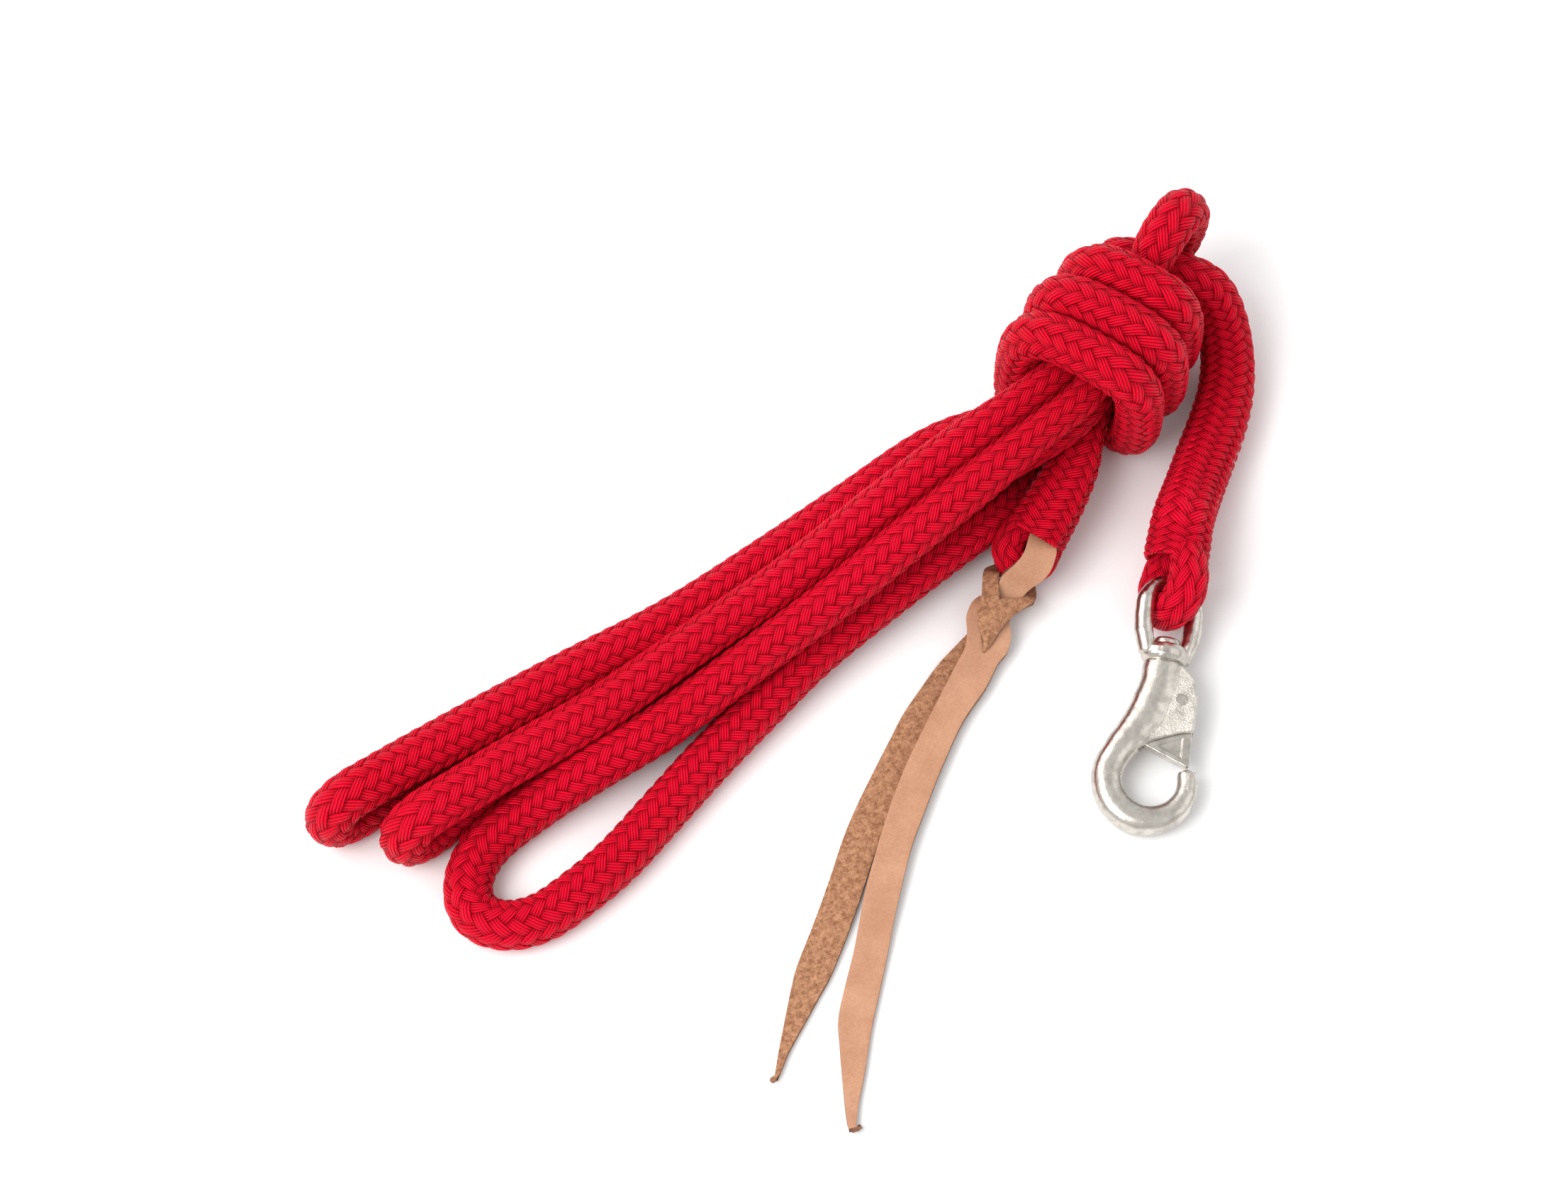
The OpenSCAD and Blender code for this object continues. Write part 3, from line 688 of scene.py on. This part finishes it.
# stations of a top face: left edge, both sides of the slit, right edge, or only the two edges
REAR_SLIT = [
    [(84, -33, 8), (86, -36, 7.5), (86, -36, 7.5), (88, -38.5, 7)],
    [(80, -31.5, 4.5), (82, -35.5, 4), (82, -35.5, 4), (85, -39.5, 3.5)],
    [(74, -30.5, 4), (77, -36, 3.5), (77, -36, 3.5), (80, -42.5, 3.2)],
    [(67.6, -30.2, 7), (71.2, -34.2, 6.6), (74, -44.5, 4.5), (75.8, -48.6, 5)],
    [(63.6, -32.8, 11.8), (68, -36.5, 12.3), (71, -47.3, 9.8), (73.2, -51.2, 9.6)],
    [(59.5, -37.5, 14.5), (64, -41, 15), (66.5, -48, 12.8), (71, -52.3, 11)],
    [(56, -41.5, 14.8), (61, -45.5, 14.5), (61, -45.5, 14.5), (65.5, -52.5, 12)],
    [(52.8, -43.7, 14), (56.5, -48.5, 13.5), (56.5, -48.5, 13.5), (60.5, -52.8, 11.6)],
    [(50, -48, 11.8), (52, -51, 11.5), (52, -51, 11.5), (54.5, -54, 9.8)],
    [(48, -53.5, 9), (49, -54.6, 8.8), (49, -54.6, 8.8), (50.2, -55.6, 8)],
    [(46.2, -56, 6.2), (46.6, -56.3, 6.2), (46.6, -56.3, 6.2), (47, -56.6, 6)],
    [(44.4, -58, 4), (44.8, -58.3, 4), (44.8, -58.3, 4), (45.2, -58.6, 3.8)]]
BAND = [[(89, -35.5, 10.5), (92.5, -41, 10)], [(86, -33.5, 18), (91, -42.5, 17.5)],
    [(83.5, -33.5, 20.5), (88.5, -42.5, 20)], [(77.5, -38, 21), (86, -45.5, 20.3)],
    [(73, -39.5, 20), (81.5, -48.5, 18.3)], [(69, -39.5, 17.8), (77, -49.3, 16)],
    [(66, -39.5, 15), (72.5, -48.3, 13)], [(61.5, -42.5, 11.5), (67.5, -49, 10.8)],
    [(58, -43.5, 9), (63, -51, 8.5)]]
FRONT_SLIT = [
    [(58.5, -38, 8), (60, -41.5, 9), (63, -48, 9), (66, -50.5, 8.5)],
    [(54.3, -38.7, 9), (56, -42.5, 9.6), (58.5, -50, 9.2), (61, -52.1, 8.6)],
    [(49.7, -41.6, 7.9), (52, -46.5, 8.4), (56.5, -52.2, 8.2), (59.3, -54.9, 8)],
    [(46.4, -46.4, 6.8), (49, -51.5, 7.3), (51.5, -54, 7.3), (57, -58, 7.2)],
    [(42.4, -50.5, 6.2), (46.5, -55.8, 6.3), (46.5, -55.8, 6.3), (53.1, -60.9, 6.4)]]
FRONT_TAIL = [[(35.5, -54, 5.7), (48, -62.3, 5.8)], [(27, -58.5, 5.3), (39, -67, 5.4)],
    [(14, -65.5, 5.2), (25, -72.5, 5.2)], [(-1, -74, 5.2), (9.5, -81.5, 5.2)],
    [(-14.5, -83, 5.2), (-5, -91, 5.2)], [(-27, -92.5, 5.2), (-18, -100, 5.2)],
    [(-40, -103, 4.8), (-31, -111, 4.8)], [(-48, -110.5, 4), (-39.5, -118.5, 4)],
    [(-56.5, -118.5, 3), (-48, -126.5, 3)], [(-66.5, -127, 2.6), (-58, -135.5, 2.6)],
    [(-75, -134.8, 2.6), (-67.5, -144, 2.6)], [(-79.5, -141.5, 2.6), (-74, -150.5, 2.6)],
    [(-84.5, -149.5, 2.6), (-80, -156.5, 2.6)], [(-90, -158.5, 2.7), (-87, -163, 2.7)],
    [(-94, -165.5, 3.2), (-91.8, -168.2, 3.2)], [(-95.4, -168.2, 3.4), (-93, -169.6, 3.6)],
    [(-96, -169.6, 3.6), (-92.4, -170.8, 4)], [(-95.2, -171, 3), (-91.8, -171.6, 3.4)]]
REAR_TAIL = [[(52, -44.5, 3), (57.5, -54, 3)], [(40, -47, 2.6), (46, -59, 2.6)],
    [(31.5, -49, 2.6), (37.5, -60.5, 2.6)], [(22, -52.5, 2.6), (28, -63.5, 2.6)],
    [(10.5, -57, 2.6), (17, -68, 2.6)], [(0.5, -62.3, 2.6), (7, -73, 2.6)],
    [(-11, -68.5, 2.6), (-4.5, -79, 2.6)], [(-23.5, -75.5, 2.6), (-16.5, -86, 2.6)],
    [(-34.5, -82.5, 2.6), (-27.5, -92.5, 2.6)], [(-48, -92.5, 2.6), (-41, -102.5, 2.6)],
    [(-61.5, -102, 2.6), (-54, -111.8, 2.6)], [(-75, -111, 2.6), (-67.5, -120.5, 2.6)],
    [(-81, -116, 2.6), (-75.5, -124.5, 2.6)], [(-88, -122.5, 2.6), (-84.5, -129, 2.6)],
    [(-97.5, -131.5, 2.7), (-95.5, -134.5, 2.7)], [(-103.5, -137.5, 2.9), (-102.5, -139, 2.9)],
    [(-104.6, -138.6, 3.2), (-103.8, -139.6, 3.2)],
    [(-106.6, -138.8, 3.4), (-105.8, -140.4, 3.4)], [(-107.4, -139.6, 2.8), (-106.8, -140.8, 2.8)]]


def unslit(rows):
    """Stations with no slit, their middle shared."""
    half = [[tuple((a + b) / 2 for a, b in zip(left, right))] * 2 for left, right in rows]
    return [[left, *middle, right] for (left, right), middle in zip(rows, half)]


def strap(name, stations, up, down, edge, dark_tip=False):
    """A strip of leather under its top face, slit where its two middle points differ; with the last
    flag set, its tip is coloured dark.
    """
    table = np.array(stations, float).reshape(len(stations), 12)
    table = spline(table, STRAP_ALONG).reshape(-1, 4, 3)
    across = STRAP_ACROSS
    verts, faces = [], []
    for a, b in ((0, 1), (2, 3)):
        start = len(verts)
        for row in table:
            for k in range(across):
                verts.append(ON_HANK @ Vector(row[a] + (row[b] - row[a]) * k / (across - 1)))
        for i in range(len(table) - 1):
            for k in range(across - 1):
                at = start + i * across + k
                faces.append((at, at + across, at + across + 1, at + 1))
    ob = new_object(name, verts, faces)
    for material in (up, down, edge):
        ob.data.materials.append(material)
    if dark_tip:
        # the dark curled tip, in both halves of the strap
        rows, half = len(table) - 1, len(faces) // 2
        for k, face in enumerate(ob.data.polygons):
            if k % half >= (rows - TIP_ROWS) * (across - 1):
                face.material_index = 2
    weld = ob.modifiers.new("weld", "WELD")
    weld.merge_threshold = 0.02 * MM
    thick = ob.modifiers.new("thickness", "SOLIDIFY")
    thick.thickness = STRAP_T * MM
    thick.offset = -1
    thick.material_offset = 1
    thick.material_offset_rim = 2
    round_edge = ob.modifiers.new("edge", "BEVEL")
    round_edge.width = 0.4 * MM
    round_edge.segments = 2
    round_edge.material = 2
    round_edge.limit_method = "ANGLE"
    round_edge.angle_limit = math.radians(40)
    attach(ob, "lead")
    return finished(ob)


def popper():
    """The popper as four strips: what shows of one strap that is looped through the eye."""
    grain, flesh, edge = leather_materials()
    pieces = [
        strap("popper_rear_slit", REAR_SLIT, flesh, grain, edge),
        strap("popper_band", unslit(BAND), grain, flesh, edge),
        strap("popper_front_tail", FRONT_SLIT + unslit(FRONT_TAIL), grain, flesh, edge, True),
        strap("popper_rear_tail", unslit(REAR_TAIL), flesh, grain, edge, True)]
    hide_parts("leather_popper")


popper()

# ---------------------------------------------------------------- lock stitching
STITCH_R = 0.55 * MM
STITCHES = 9
STITCH_RINGS = 9         # rings of a stitch, half a millimetre apart like the stitches
FIRST_STITCH = 18        # points of the line before the first stitch


def stitches(name, node, line, facing, material):
    """Short arched stitches of waxed thread along line (x, y, z, radius), on its facing side."""
    line, _ = evened(spline(line), 0.5 * MM)
    along, _, _ = frames_along(line[:, :3])
    sides, rings = 8, STITCH_RINGS
    verts, faces = [], []
    for start in range(FIRST_STITCH, FIRST_STITCH + STITCHES * rings, rings):
        for k in range(rings):
            at = line[start + k]
            t = along[start + k]
            out = facing - t * facing.dot(t)
            out = out / np.linalg.norm(out)
            arch = math.sin(math.pi * k / (rings - 1))
            middle = at[:3] + out * (at[3] + (0.9 * arch - 0.4) * MM)
            across = np.cross(t, out)
            thin = STITCH_R * (0.4 + 0.6 * arch ** 0.5)
            for q in range(sides):
                c, d = math.cos(2 * math.pi * q / sides), math.sin(2 * math.pi * q / sides)
                verts.append(middle + thin * (across * c + out * d))
        base = len(verts) - rings * sides
        for k in range(rings - 1):
            for q in range(sides):
                a, b = base + k * sides + q, base + k * sides + (q + 1) % sides
                faces.append((a, b, b + sides, a + sides))
        faces.append(tuple(base + q for q in range(sides))[::-1])
        faces.append(tuple(base + (rings - 1) * sides + q for q in range(sides)))
    ob = new_object(name, verts, faces)
    ob.data.materials.append(material)
    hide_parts(node)
    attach(ob, "lead")


def splice_stitches():
    """The lock stitching at both splices."""
    thread = Nodes("thread_waxed")
    at = thread.place()
    twist = thread.noise(at, 2600.0, 3.0)
    thread.set(Base_Color=thread.mix(twist, (0.50, 0.02, 0.04, 1), (0.80, 0.22, 0.24, 1)))
    thread.set(Roughness=0.6)
    thread.set(Normal=thread.bump(twist, 0.5, 0.0003))
    rope = route()[1]
    stitches("snap_splice_stitches", "snap_eye_stitching", rope[2:9], np.array([0.9, -0.45, 0.2]),
        thread.material)
    stitches("popper_splice_stitches", "popper_eye_stitching", rope[:-8:-1],
        np.array([0.5, -0.8, -0.3]), thread.material)


splice_stitches()


# ---------------------------------------------------------------- floor and lights
def floor(far=6):
    """A plain pale floor, far metres from its middle to each side."""
    corners = [(-far, -far, 0), (far, -far, 0), (far, far, 0), (-far, far, 0)]
    ob = new_object("floor", corners, [(0, 1, 2, 3)])
    m = Nodes("floor_white")
    m.set(Base_Color=(0.9, 0.9, 0.9, 1), Roughness=0.9)
    ob.data.materials.append(m.material)


def lamp(name, at, size, energy):
    """A square lamp in metres and watts, turned to the middle of the floor."""
    data = bpy.data.lights.new(name, "AREA")
    data.shape = "SQUARE"
    data.size = size
    data.energy = energy
    ob = bpy.data.objects.new(name, data)
    ob.location = at
    ob.rotation_euler = Vector(at).to_track_quat("Z", "Y").to_euler()
    bpy.context.scene.collection.objects.link(ob)


floor()
lamp("key", (-1.1, 0.1, 1.5), 1.2, 28)
lamp("fill", (1.2, -0.9, 1.3), 1.6, 4)
lamp("top", (-0.3, 1.4, 1.5), 1.6, 12)
world = bpy.data.worlds.new("studio")
bpy.context.scene.world = world
world.use_nodes = True
background = world.node_tree.nodes["Background"]
background.inputs["Color"].default_value = (1, 1, 1, 1)
background.inputs["Strength"].default_value = 0.75
bpy.context.scene.view_settings.view_transform = "Standard"
